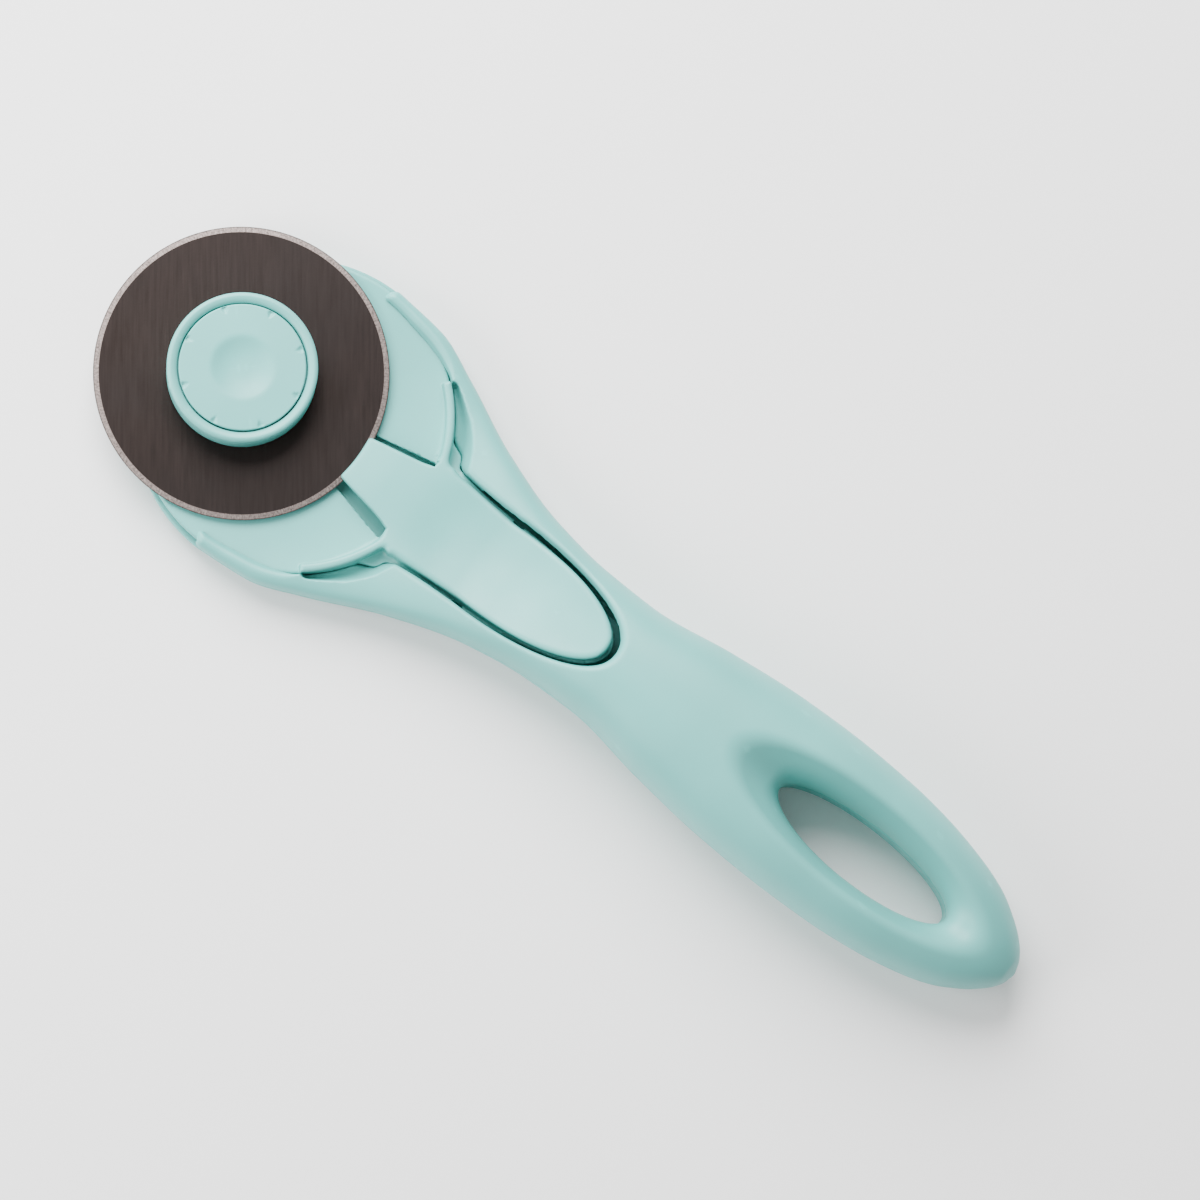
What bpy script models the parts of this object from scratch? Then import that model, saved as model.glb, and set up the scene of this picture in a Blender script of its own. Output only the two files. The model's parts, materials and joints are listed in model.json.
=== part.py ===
"""Rotary cutter: a 45 mm blade on a looped handle, with a guard that the thumb slides forward over the edge.

Plain numbers are millimetres, and MM turns them into metres. X runs from the blade to the loop, Y runs across the
handle and Z is up, with the cutter lying on its back. Shapes are drawn round the blade's axis, the hub: t is the
distance from it along X, n the distance across.
"""

import math

import bmesh
import bpy
import numpy as np
from mathutils import Vector

MM = 0.001
GAP = 0.3

LENGTH = 171.0
BLADE_R = 22.5
BLADE_BORE_R = 4.05
HUB_X = BLADE_R - LENGTH / 2
TIP_T = LENGTH - BLADE_R

# Heights of the stack on the hub, from the back face up
PLATE_TOP = 3.4
GUARD_LOW = PLATE_TOP + GAP
GUARD_TOP = 5.3
BOSS_TOP = 5.5
BLADE_LOW = BOSS_TOP + GAP
BLADE_TOP = BLADE_LOW + 0.3
TONGUE_LOW = BLADE_TOP + GAP
KNOB_LOW = 6.5
KNOB_TOP = 12.8

# Head, guard and slide
HEAD_R = 24.9
HEAD_T = 11.0
GUARD_R = 24.0
GUARD_T = 10.5
POCKET_R = GUARD_R + GAP
TRAVEL = 10.0
FIN_OUTER_R = 23.8
FIN_INNER_R = 22.9
FIN_TOP = 8.2
FIN_ANGLES = (14.0, 49.0)
TONGUE_R = 22.0
WINDOW_W = 8.0
WINDOW_T = 47.0
WINDOW_REAR = 23.0
SADDLE_W = 7.2
SADDLE_REAR = 21.9
TAIL_END = 88.0
TAIL_W = 5.4
FLANK_W = 9.0
FLANK_END = 50.0

# Handle
WALL = 2.2
CAVITY_T = 40.0
RING_POINTS = 32
LOOP_T = 119.0
LOOP_A = 16.0
LOOP_B = 4.35

# Hub parts
BOSS_R = 6.6
BOLT_SEAT_R = 3.97
BOLT_HEAD_R = 7.0
BOLT_HEAD_Z = (0.5, 2.0)
NECK_HALF = 4.2
NECK_CORNER_R = 5.2
THREAD_R = 3.0
THREAD_FLAT = 2.55
BOLT_TOP = 11.0
KNOB_R = 11.65
CAP_R = 9.95
CAP_LOW = 11.3
WEB_LOW = 8.6
WEB_TOP = 11.0
NUT_FLATS = 8.0
DIMPLE_R = 4.7
CAP_NOTCHES = 8

# Screws: place of each, along and across, and its height from the back face
HEAD_SCREWS = ((34.5, -14.0), (34.5, 14.0))
GRIP_SCREWS = ((93.0, 0.0), (141.0, 0.0))
HEAD_SCREW_Z = (0.4, 6.2)
GRIP_SCREW_Z = (1.6, 11.5)
SCREW_R = 1.0
SCREW_HEAD_R = 1.9
SCREW_HEAD_H = 1.3
BOSS_WALL_R = 3.1

# Detent
NOTCH_T = 74.0
LEAF_HALF = 9.0
LEAF_W = 2.5
LEAF_THICK = 0.4
LEAF_FOOT = 2.3
LEAF_RISE = 0.5
LEAF_BEAD = 0.75

FAR = 60.0


def smooth_curve(*points):
    """A function through the points that never overshoots them: a monotone cubic."""
    xs = np.array([p[0] for p in points], float)
    ys = np.array([p[1] for p in points], float)
    slopes = np.diff(ys) / np.diff(xs)
    middle = np.where(
        slopes[:-1] * slopes[1:] > 0,
        2 * slopes[:-1] * slopes[1:] / (slopes[:-1] + slopes[1:] + 1e-12),
        0.0,
    )
    tangents = np.concatenate([[slopes[0]], middle, [slopes[-1]]])

    def value(x):
        x = min(max(x, xs[0]), xs[-1])
        i = min(int(np.searchsorted(xs, x, "right")) - 1, len(xs) - 2)
        h = xs[i + 1] - xs[i]
        s = (x - xs[i]) / h
        a = (1 + 2 * s) * (1 - s) ** 2 * ys[i] + s * (1 - s) ** 2 * h * tangents[i]
        b = s * s * (3 - 2 * s) * ys[i + 1] + s * s * (s - 1) * h * tangents[i + 1]
        return float(a + b)

    return value


side = smooth_curve(
    (HEAD_T, HEAD_R), (20, 24.0), (28, 20.9), (40, 15.4), (52, 11.6), (63, 10.1), (71, 9.9), (85, 11.7),
    (100, 13.4), (113, 14.3), (126, 13.0), (136, 9.9), (142, 7.3), (146, 4.9), (148, 2.3), (TIP_T, 0.6),
)
top_height = smooth_curve(
    (14, 7.5), (30, 8.2), (44, 11.0), (58, 15.0), (72, 18.0), (90, 19.6), (104, 20.0), (118, 19.0),
    (132, 16.5), (142, 13.5), (147, 10.5), (TIP_T, 8.0),
)
bottom_height = smooth_curve((118, -0.5), (134, -0.2), (142, 0.9), (147, 3.0), (TIP_T, 4.8))
squareness = smooth_curve((26, 7.0), (44, 4.0), (60, 2.7), (80, 2.5), (140, 2.4))
parting_height = smooth_curve((20, PLATE_TOP), (30, PLATE_TOP), (48, 6.2), (66, 8.6), (120, 8.6), (TIP_T, 6.4))
saddle_height = smooth_curve((20, 7.6), (33, 8.2), (42, 9.2), (50, 10.4), (60, 12.8), (69, 15.2))
saddle_side = smooth_curve((20, 3.0), (32, 6.1), (38, SADDLE_W), (WINDOW_T, SADDLE_W))


def half_width(t):
    """The handle's half width, with the round head in front of its widest point."""
    if t < HEAD_T:
        return math.sqrt(max(HEAD_R**2 - (HEAD_T - t) ** 2, 0.3))
    return side(t)


def handle_ring(t, inset=0.0, low=None):
    """The handle's cross-section at t: a rounded rectangle that turns into an oval along the grip."""
    w = max(half_width(t) - inset, 0.4)
    z_high = top_height(t) - inset
    z_low = bottom_height(t) + inset if low is None else max(low, bottom_height(t) + inset)
    middle = (z_high + z_low) / 2
    rise = max((z_high - z_low) / 2, 0.4)
    power = 2 / squareness(t)
    ring = []
    for i in range(RING_POINTS):
        angle = 2 * math.pi * i / RING_POINTS
        c = math.cos(angle)
        s = math.sin(angle)
        y = math.copysign(abs(c) ** power, c) * w
        z = math.copysign(abs(s) ** power, s) * rise
        ring.append((t, y, middle + z))
    return ring


def arc(center_t, radius, start, stop, steps):
    """Points (t, n) along an arc, with angles in degrees from the handle's direction."""
    angles = [math.radians(start + (stop - start) * i / steps) for i in range(steps + 1)]
    return [(center_t + radius * math.cos(a), radius * math.sin(a)) for a in angles]


def disc(center_t, radius, steps=72):
    """A circle whose corners keep off the handle's centre line, where they would meet its own edges."""
    half_step = 180 / steps
    return arc(center_t, radius, half_step, 360 - half_step, steps - 1)


def oval(center_t, a, b, steps=48):
    angles = [2 * math.pi * (i + 0.5) / steps for i in range(steps)]
    return [(center_t + a * math.cos(v), b * math.sin(v)) for v in angles]


def rounded_rear(half, start, rear, front_t, steps=24):
    """A straight-sided outline from front_t to start that ends in half an oval."""
    rear_points = [
        (start + rear * math.cos(v), half * math.sin(v))
        for v in (math.pi * (i / steps - 0.5) for i in range(steps + 1))
    ]
    return [(front_t, -half), *rear_points, (front_t, half)]


def finish(name, bm, material):
    bmesh.ops.recalc_face_normals(bm, faces=bm.faces)
    mesh = bpy.data.meshes.new(name)
    bm.to_mesh(mesh)
    bm.free()
    obj = bpy.data.objects.new(name, mesh)
    bpy.context.scene.collection.objects.link(obj)
    obj.parent = hub
    if material is None:
        obj.hide_render = True
        obj.display_type = "WIRE"
    else:
        mesh.materials.append(material)
        mesh.shade_smooth()
        mesh.set_sharp_from_angle(angle=math.radians(35))
    return obj


def loft(name, rings, material=None):
    """A closed solid through rings of equally many points, each a list of (t, n, z)."""
    bm = bmesh.new()
    rows = [[bm.verts.new(Vector(p) * MM) for p in ring] for ring in rings]
    for low, high in zip(rows, rows[1:]):
        for i in range(len(low)):
            j = (i + 1) % len(low)
            bm.faces.new((low[i], low[j], high[j], high[i]))
    bm.faces.new(rows[0])
    bm.faces.new(rows[-1])
    return finish(name, bm, material)


def prism(name, outline, z_low, z_high, material=None):
    return loft(name, [[(t, n, z) for t, n in outline] for z in (z_low, z_high)], material)


def turned(name, profile, material=None, steps=64):
    """A solid of revolution about the hub from a profile of (radius, z). One on the axis starts and ends there."""
    bm = bmesh.new()
    verts = [bm.verts.new((r * MM, 0, z * MM)) for r, z in profile]
    ends = verts[1:] if profile[0][0] == 0 else verts[1:] + verts[:1]
    edges = [bm.edges.new(pair) for pair in zip(verts, ends)]
    bmesh.ops.spin(bm, geom=verts + edges, cent=(0, 0, 0), axis=(0, 0, 1), angle=2 * math.pi, steps=steps)
    bmesh.ops.remove_doubles(bm, verts=bm.verts, dist=1e-6)
    return finish(name, bm, material)


def block(name, t_range, half, z_range):
    outline = [(t_range[0], -half), (t_range[1], -half), (t_range[1], half), (t_range[0], half)]
    return prism(name, outline, *z_range)


def combine(target, operation, *others):
    for other in others:
        modifier = target.modifiers.new(other.name, "BOOLEAN")
        modifier.operation = operation
        modifier.solver = "EXACT"
        modifier.object = other


def cut(target, *others):
    combine(target, "DIFFERENCE", *others)


def join(target, *others):
    combine(target, "UNION", *others)


def material(name, color, roughness, metallic=0.0):
    made = bpy.data.materials.new(name)
    made.use_nodes = True
    shader = made.node_tree.nodes["Principled BSDF"]
    shader.inputs["Base Color"].default_value = (*color, 1.0)
    shader.inputs["Roughness"].default_value = roughness
    shader.inputs["Metallic"].default_value = metallic
    return made


def stations(start, stop, steps):
    return [start + (stop - start) * i / steps for i in range(steps + 1)]


def handle_blank(name, skin):
    """The whole handle's outer shape, in one piece."""
    front = HEAD_T - HEAD_R
    nose = [HEAD_T - HEAD_R * math.cos(math.pi / 2 * i / 11) for i in range(12)]
    body = stations(HEAD_T + 3, 142, 32)
    tail = [144, 146, 147.2, 148, TIP_T]
    nose[0] = front + 0.02
    return loft(name, [handle_ring(t) for t in nose + body + tail], skin)


def handle_cavity():
    """The hollow inside the grip and round the loop, with the screw bosses left standing in it."""
    places = stations(CAVITY_T, 144, 22)
    cavity = loft("cavity", [handle_ring(t, WALL, 2.0) for t in places])
    cut(cavity, prism("loop_wall", oval(LOOP_T, LOOP_A + WALL, LOOP_B + WALL), -FAR, FAR))
    for i, (t, n) in enumerate(GRIP_SCREWS):
        cut(cavity, prism(f"screw_boss_{i}", [(t + a, n + b) for a, b in disc(0, BOSS_WALL_R, 20)], -FAR, FAR))
    return cavity


def parting_prism(name, lift, reach):
    """A block from the parting surface up or down, wider than the handle."""
    rings = []
    for t in [-FAR, *stations(30, TIP_T, 16), 160]:
        z = parting_height(t) + lift
        rings.append([(t, -FAR, z), (t, FAR, z), (t, FAR, z + reach), (t, -FAR, z + reach)])
    return loft(name, rings)


def back_shell(skin, cavity, loop, channel):
    shell = handle_blank("back_shell", skin)
    cut(shell, parting_prism("above_parting", 0, FAR), block("floor", (-FAR, 200), FAR, (-FAR, 0)))
    cut(shell, cavity, loop, channel)
    join(shell, prism("blade_boss", disc(0, BOSS_R, 40), 2.9, BOSS_TOP))
    neck = NECK_HALF + GAP
    cut(
        shell,
        prism("bolt_recess", disc(0, BOLT_HEAD_R + GAP, 40), -1, BOLT_HEAD_Z[1] + GAP),
        block("bolt_square", (-neck, neck), neck, (-1, FAR)),
    )
    for i, (t, n) in enumerate(HEAD_SCREWS + GRIP_SCREWS):
        z_head = (HEAD_SCREW_Z if i < len(HEAD_SCREWS) else GRIP_SCREW_Z)[0] + SCREW_HEAD_H
        for word, radius, z in (("sink", SCREW_HEAD_R, z_head), ("through", SCREW_R, FAR)):
            outline = [(t + a, n + b) for a, b in disc(0, radius + GAP, 20)]
            cut(shell, prism(f"screw_{word}_{i}", outline, -1, z + (GAP if word == "sink" else 0)))
    return shell


def front_shell(skin, cavity, loop, channel):
    shell = handle_blank("front_shell", skin)
    cut(
        shell,
        parting_prism("below_parting", GAP, -FAR),
        cavity,
        prism("guard_pocket", disc(GUARD_T, POCKET_R), -1, FAR),
        block("open_front", (-FAR, GUARD_T), FAR, (-2, FAR)),
        prism("window", rounded_rear(WINDOW_W, WINDOW_T, WINDOW_REAR, 20), 1, FAR),
        loop,
        channel,
    )
    for i, (t, n) in enumerate(HEAD_SCREWS + GRIP_SCREWS):
        z_tip = (HEAD_SCREW_Z if i < len(HEAD_SCREWS) else GRIP_SCREW_Z)[1] + GAP
        outline = [(t + a, n + b) for a, b in disc(0, SCREW_R + GAP, 20)]
        cut(shell, prism(f"screw_pilot_{i}", outline, -1, z_tip))
    return shell


def saddle_ring(t, inset=0.0, low=GUARD_LOW + 0.8):
    """The thumb saddle's cross-section at t, with its top edges rounded."""
    if t <= WINDOW_T:
        w = saddle_side(t)
    else:
        w = SADDLE_W * math.sqrt(max(1 - ((t - WINDOW_T) / SADDLE_REAR) ** 2, 0.02))
    w = max(w - inset, 0.5)
    z = saddle_height(t) - inset
    edge = min(1.0, w * 0.6)
    half = [(w, low), (w, z - edge), (w - 0.3 * edge, z - 0.3 * edge), (w - edge, z)]
    return [(t, y, h) for y, h in half] + [(t, -y, h) for y, h in reversed(half)]


def blade_guard(skin):
    """Guard plate, tail, fins, thumb saddle and tongue in one moulding."""
    edge = math.degrees(math.asin(FLANK_W / GUARD_R))
    rim = arc(GUARD_T, GUARD_R, edge, 360 - edge, 64)
    half_tail = [(FLANK_END, FLANK_W), (FLANK_END + 4, TAIL_W), (TAIL_END, TAIL_W)]
    tail = [(t, -n) for t, n in half_tail] + half_tail[::-1]
    guard = prism("blade_guard", rim + tail, GUARD_LOW, GUARD_TOP, skin)

    tongue_gap = [(19.0, -3.6), (33.2, -7.0), (33.2, 7.0), (19.0, 3.6)]
    cut(guard, prism("tongue_gap", tongue_gap, 0, FAR))

    rear = [WINDOW_T + SADDLE_REAR * f for f in (0.45, 0.62, 0.76, 0.87, 0.95, 0.99)]
    saddle = loft("saddle", [saddle_ring(t) for t in [*stations(19, WINDOW_T, 14), *rear]])
    cut(
        saddle,
        prism("tongue_front", disc(0, TONGUE_R), 0, FAR),
        prism("blade_slot", disc(TRAVEL, BLADE_R + 0.7), 0, TONGUE_LOW),
    )
    join(guard, saddle)
    for word, sign in (("left", 1), ("right", -1)):
        outer = arc(GUARD_T, FIN_OUTER_R, sign * FIN_ANGLES[0], sign * FIN_ANGLES[1], 12)
        inner = arc(GUARD_T, FIN_INNER_R, sign * FIN_ANGLES[1], sign * FIN_ANGLES[0], 12)
        join(guard, prism(f"fin_{word}", outer + inner, GUARD_LOW + 0.8, FIN_TOP))

    hollow = loft("saddle_hollow", [saddle_ring(t, 1.6, 0) for t in stations(37, 64, 12)])
    slot = rounded_rear(BOSS_R + GAP, TRAVEL, BOSS_R + GAP, 0)[1:-1]
    slot += [(-t + TRAVEL, -n) for t, n in slot]
    cut(guard, hollow, prism("bolt_slot", slot, 0, FAR))
    for i, place in enumerate((NOTCH_T, NOTCH_T + TRAVEL)):
        notch = [(place + a, n) for a, n in ((-1.6, -3.4), (1.6, -3.4), (1.6, 3.4), (-1.6, 3.4))]
        cut(guard, prism(f"notch_{i}", notch, 0, GUARD_LOW + 0.7))
    return guard


def detent_spring(steel):
    """Shallow arched leaf with a pressed bead, which stands in a notch under the guard's tail."""
    half = [0, 0.4, 0.8, 1.2, 1.6, 2.4, 4, 6, LEAF_HALF]
    rings = []
    for t in [-x for x in half[:0:-1]] + half:
        arch = LEAF_RISE * math.cos(math.pi / 2 * t / LEAF_HALF) ** 2
        low = LEAF_FOOT + arch + LEAF_BEAD * math.exp(-t * t)
        high = low + LEAF_THICK
        place = NOTCH_T + t
        rings.append([(place, -LEAF_W, low), (place, LEAF_W, low), (place, LEAF_W, high), (place, -LEAF_W, high)])
    return loft("detent_spring", rings, steel)


def blade(steel):
    middle = (BLADE_LOW + BLADE_TOP) / 2
    land = BLADE_R - 0.9
    profile = [(BLADE_BORE_R, BLADE_TOP), (land, BLADE_TOP), (BLADE_R, middle), (land, BLADE_LOW)]
    return turned("blade", [*profile, (BLADE_BORE_R, BLADE_LOW)], steel, 96)


def pivot_bolt(steel):
    """Bolt from the back: domed head, square neck, round seat for the blade, thread with two flats."""
    low, high = BOLT_HEAD_Z
    seat_low = BOSS_TOP - GAP
    bolt = turned(
        "pivot_bolt",
        [
            (0, low), (BOLT_HEAD_R - 0.8, low), (BOLT_HEAD_R, low + 0.6), (BOLT_HEAD_R, high),
            (BOLT_SEAT_R, high), (BOLT_SEAT_R, BLADE_TOP + 0.2), (THREAD_R, BLADE_TOP + 0.2),
            (THREAD_R, BOLT_TOP - 0.4), (THREAD_R - 0.4, BOLT_TOP), (0, BOLT_TOP),
        ],
        steel,
        48,
    )
    neck = prism("bolt_neck", disc(0, NECK_CORNER_R, 40), high - 0.4, seat_low)
    square = block("neck_square", (-NECK_HALF, NECK_HALF), NECK_HALF, (0, FAR))
    combine(neck, "INTERSECT", square)
    join(bolt, neck)
    for word, sign in (("left", 1), ("right", -1)):
        flat = [(-8, sign * THREAD_FLAT), (8, sign * THREAD_FLAT), (8, sign * 9), (-8, sign * 9)]
        cut(bolt, prism(f"flat_{word}", flat, BLADE_TOP + 0.25, FAR))
    return bolt


def wave_washer(steel):
    """Thin ring whose height goes up and down three times round."""
    steps = 48
    rings = []
    for i in range(steps):
        angle = 2 * math.pi * i / steps
        z = BLADE_TOP + GAP + 0.25 * (1 + math.cos(3 * angle))
        corners = ((4.2, z), (7.0, z), (7.0, z + 0.35), (4.2, z + 0.35))
        rings.append([(r * math.cos(angle), r * math.sin(angle), h) for r, h in corners])
    bm = bmesh.new()
    rows = [[bm.verts.new(Vector(p) * MM) for p in ring] for ring in rings]
    for low, high in zip(rows, rows[1:] + rows[:1]):
        for i in range(4):
            j = (i + 1) % 4
            bm.faces.new((low[i], low[j], high[j], high[i]))
    return finish("wave_washer", bm, steel)


def keyed_washer(steel):
    """Flat washer with two flats in its hole, which the bolt's flats keep from turning."""
    washer = prism("keyed_washer", disc(0, 7.6, 48), 7.6, 8.3, steel)
    hole = prism("washer_hole", disc(0, THREAD_R + GAP, 32), 0, FAR)
    flats = THREAD_FLAT + GAP
    combine(hole, "INTERSECT", block("washer_key", (-8, 8), flats, (-1, FAR + 1)))
    cut(washer, hole)
    return washer


def knob_body(skin):
    """Ring with a web: washers below the web, cap above it, nut in a hexagon hole through it."""
    recess_r = CAP_R + GAP
    knob = turned(
        "knob_body",
        [
            (recess_r, KNOB_TOP), (KNOB_R - 0.9, KNOB_TOP), (KNOB_R - 0.25, KNOB_TOP - 0.25),
            (KNOB_R, KNOB_TOP - 0.9), (KNOB_R, KNOB_LOW + 0.3), (KNOB_R - 0.3, KNOB_LOW), (8.6, KNOB_LOW),
            (8.6, WEB_LOW), (3.6, WEB_LOW), (3.6, WEB_TOP), (recess_r, WEB_TOP),
        ],
        skin,
        72,
    )
    reach = (NUT_FLATS / 2 + GAP) / math.cos(math.pi / 6)
    cut(knob, prism("nut_pocket", disc(0, reach, 6), 0, FAR))
    return knob


def knob_nut(metal):
    nut = prism("knob_nut", disc(0, NUT_FLATS / 2 / math.cos(math.pi / 6), 6), WEB_LOW, WEB_TOP - 0.2, metal)
    cut(nut, prism("nut_bore", disc(0, THREAD_R + 0.15, 32), 0, FAR))
    return nut


def knob_cap(skin):
    """Disc let into the knob, dished in the middle, with small notches round its edge."""
    top = KNOB_TOP - 0.2
    bowl = [
        (DIMPLE_R * f, top - 0.6 * (1 - f * f) ** 2) for f in (0.0, 0.25, 0.5, 0.75, 1.0)
    ]
    profile = [(0, CAP_LOW), *reversed([(CAP_R, CAP_LOW)]), (CAP_R, top - 0.25), (CAP_R - 0.25, top)]
    cap = turned("knob_cap", profile + bowl[::-1], skin, 72)
    for i in range(CAP_NOTCHES):
        angle = 2 * math.pi * (i + 0.5) / CAP_NOTCHES
        notch = [(8.0, -0.15), (9.2, -0.45), (9.2, 0.45), (8.0, 0.15)]
        c = math.cos(angle)
        s = math.sin(angle)
        outline = [(t * c - n * s, t * s + n * c) for t, n in notch]
        cut(cap, prism(f"cap_notch_{i}", outline, top - 0.35, FAR))
    return cap


def screw(name, place, z_range, steel):
    """Pan-head screw with a cross recess, put in from the back."""
    t, n = place
    low, high = z_range
    under_head = low + SCREW_HEAD_H
    made = turned(
        name,
        [
            (0, low), (SCREW_HEAD_R - 0.4, low), (SCREW_HEAD_R, low + 0.4), (SCREW_HEAD_R, under_head),
            (SCREW_R, under_head), (SCREW_R, high - 1.2), (0, high),
        ],
        steel,
        20,
    )
    made.location = Vector((t, n, 0)) * MM
    for word, a, b in (("long", 1.1, 0.25), ("cross", 0.25, 1.1)):
        slot = [(t - a, n - b), (t + a, n - b), (t + a, n + b), (t - a, n + b)]
        cut(made, prism(f"{name}_{word}", slot, -1, low + 0.5))


for old in list(bpy.data.objects):
    bpy.data.objects.remove(old)

hub = bpy.data.objects.new("hub", None)
bpy.context.scene.collection.objects.link(hub)
hub.location = (HUB_X * MM, 0, 0)

mint = material("mint_plastic", (0.40, 0.66, 0.64), 0.45)
pale_mint = material("pale_mint_plastic", (0.46, 0.72, 0.70), 0.42)
dark_steel = material("coated_blade", (0.10, 0.085, 0.08), 0.38, 1.0)
bright_steel = material("zinc_steel", (0.62, 0.62, 0.60), 0.35, 1.0)
spring_steel = material("spring_steel", (0.45, 0.45, 0.47), 0.30, 1.0)
brass = material("brass", (0.72, 0.53, 0.25), 0.35, 1.0)

inside = handle_cavity()
loop_hole = prism("loop_hole", oval(LOOP_T, LOOP_A, LOOP_B), -FAR, FAR)
tail_channel = block("tail_channel", (27, FLANK_END + 4), FLANK_W + 0.4, (PLATE_TOP - 0.1, GUARD_TOP + 0.4))

back_shell(mint, inside, loop_hole, tail_channel)
front_shell(mint, inside, loop_hole, tail_channel)
blade_guard(pale_mint)
detent_spring(spring_steel)
blade(dark_steel)
pivot_bolt(bright_steel)
wave_washer(spring_steel)
keyed_washer(bright_steel)
knob_body(pale_mint)
knob_nut(brass)
knob_cap(pale_mint)
for word, place in zip(("right", "left"), HEAD_SCREWS):
    screw(f"head_screw_{word}", place, HEAD_SCREW_Z, bright_steel)
for word, place in zip(("front", "rear"), GRIP_SCREWS):
    screw(f"grip_screw_{word}", place, GRIP_SCREW_Z, bright_steel)
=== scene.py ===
"""Looks of the rotary cutter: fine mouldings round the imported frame, their materials, floor and lights.

The moulded pieces are written as distance fields, functions that are negative inside the plastic, so that
every fillet is a smooth minimum or maximum. Fields use millimetres: t along the handle from the blade's
axis, n across it towards +Y, and z up. A factor below 1 on a field brings its slope back to about 1.
"""

import json
import math

import bmesh
import bpy
import numpy as np
from mathutils import Matrix, Vector


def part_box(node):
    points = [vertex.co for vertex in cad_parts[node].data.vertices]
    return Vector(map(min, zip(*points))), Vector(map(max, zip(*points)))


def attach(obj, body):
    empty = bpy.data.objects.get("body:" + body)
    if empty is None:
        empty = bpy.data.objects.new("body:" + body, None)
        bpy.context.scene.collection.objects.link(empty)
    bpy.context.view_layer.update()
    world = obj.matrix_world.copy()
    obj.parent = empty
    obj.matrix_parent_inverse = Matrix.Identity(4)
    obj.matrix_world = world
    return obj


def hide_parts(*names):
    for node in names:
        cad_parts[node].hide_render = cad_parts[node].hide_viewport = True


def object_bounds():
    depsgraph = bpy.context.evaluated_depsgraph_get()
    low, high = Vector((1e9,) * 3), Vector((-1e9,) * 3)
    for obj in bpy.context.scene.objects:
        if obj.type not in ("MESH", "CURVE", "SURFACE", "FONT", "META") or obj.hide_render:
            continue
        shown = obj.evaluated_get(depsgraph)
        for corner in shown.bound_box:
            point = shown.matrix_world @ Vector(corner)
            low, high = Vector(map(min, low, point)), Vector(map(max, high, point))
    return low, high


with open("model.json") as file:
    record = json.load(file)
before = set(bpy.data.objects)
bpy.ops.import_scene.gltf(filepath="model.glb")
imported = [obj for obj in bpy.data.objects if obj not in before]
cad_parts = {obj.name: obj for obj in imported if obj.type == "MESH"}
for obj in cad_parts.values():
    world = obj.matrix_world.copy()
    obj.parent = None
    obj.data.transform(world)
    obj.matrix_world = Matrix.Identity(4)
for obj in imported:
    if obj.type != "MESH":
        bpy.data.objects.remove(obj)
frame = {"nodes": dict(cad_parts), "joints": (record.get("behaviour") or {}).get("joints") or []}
cad_low, cad_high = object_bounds()

MM = 0.001
blade_low, blade_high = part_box("blade")
HUB_X = (blade_low.x + blade_high.x) / 2 / MM
BLADE_R = (blade_high.x - blade_low.x) / 2 / MM
TIP_T = cad_high.x / MM - HUB_X


def corners(node):
    """A CAD node's lowest and highest corners in millimetres from the hub, to the nearest micron."""
    return [np.round(np.array(corner) / MM - (HUB_X, 0, 0), 3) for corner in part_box(node)]


def screw_hole(node, depth):
    """The hole for a screw: its place along and across the handle, and how deep its head is sunk."""
    low, high = corners(node)
    along, across, _ = (low + high) / 2
    return along, across, depth


guard_low, guard_high = corners("blade_guard")
knob_low, knob_high = corners("knob_body")
cap_low, _ = corners("knob_cap")
guard_slide = next(joint for joint in frame["joints"] if joint["name"] == "guard_slide")

# Sizes are in millimetres and FIN_ANGLES in degrees. A name that ends in _T is a place along the handle, _R a
# radius and _W a half width.

# Head and guard
HEAD_R = 24.9
HEAD_T = 11.0
GUARD_T = 10.5
POCKET_R = 24.22
EDGE_GAP = 0.17
TRAVEL = guard_slide["range_m"][1] / MM
PLATE_TOP = 3.4
GUARD_LOW = guard_low[2]
GUARD_TOP = 5.3
GUARD_SINK = 0.45
GUARD_SINK_R = (15.0, 23.5)
RIM_LOW = 5.42
RIM_SLOPE_HEIGHT = 1.5
SCOOP_LOW = 4.9
SCOOP_END_ANGLES = (48, 56)
SCOOP_END_RISE = 12
NOSE_T = 9.5
NOSE_N = 22.7
NOSE_SLANT = 0.45
NOSE_RAKE = 0.35
FIN_INNER_R = 22.75
FIN_ANGLES = (14, 50.7)
FIN_DROP = 0.55
FIN_MM_PER_DEGREE = 0.41
FIN_TOP = 8.45
GROOVE_START = 19.0
GROOVE_END = 31.9
UPPER_LOW = GUARD_LOW + 0.3
BOSS_SLOT_R = 6.9
BOSS_SLOT_TOP = 5.7

# Blade, tongue and saddle
BLADE_LOW, BLADE_TOP = (corner[2] for corner in corners("blade"))
BLADE_BORE_R = 4.05
BLADE_LAND_R = 21.65
TONGUE_LOW = 6.4
TONGUE_R = 21.7
BLADE_SLOT_R = 23.2
BLADE_SLOT_W = 9
TONGUE_CROWN = 0.15
SADDLE_W = 7.2
SADDLE_REAR = 21.9
SADDLE_CUP = 0.85
FLANGE_T = 31.5
FLANGE_GAP = 0.11
HOLE_T = 47.4
HOLE_HALF = 1.0

# Handle
WINDOW_T = 47.0
WINDOW_W = 8.0
WINDOW_REAR = 23.0
LEAN_START = 9.0
FLANK_END = 46.4
CHANNEL_W = 9.4
CHANNEL_T = (27, 54.0)
CHANNEL_MIDDLE = 4.5
CHANNEL_HALF = 1.2
TAIL_W = 5.4
TAIL_T = (32, guard_high[0])
WALL = 2.2
CAVITY_T = (40.0, 89.0)
CAVITY_LOW = 2.0
SEAM = 0.15
LOOP_T = 119.0
LOOP_A = 16.0
LOOP_B = 4.6
DISH_T = 117.3
DISH_A = 23.4
DISH_B = 7.6
DISH_DEPTH = 15.0

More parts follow.
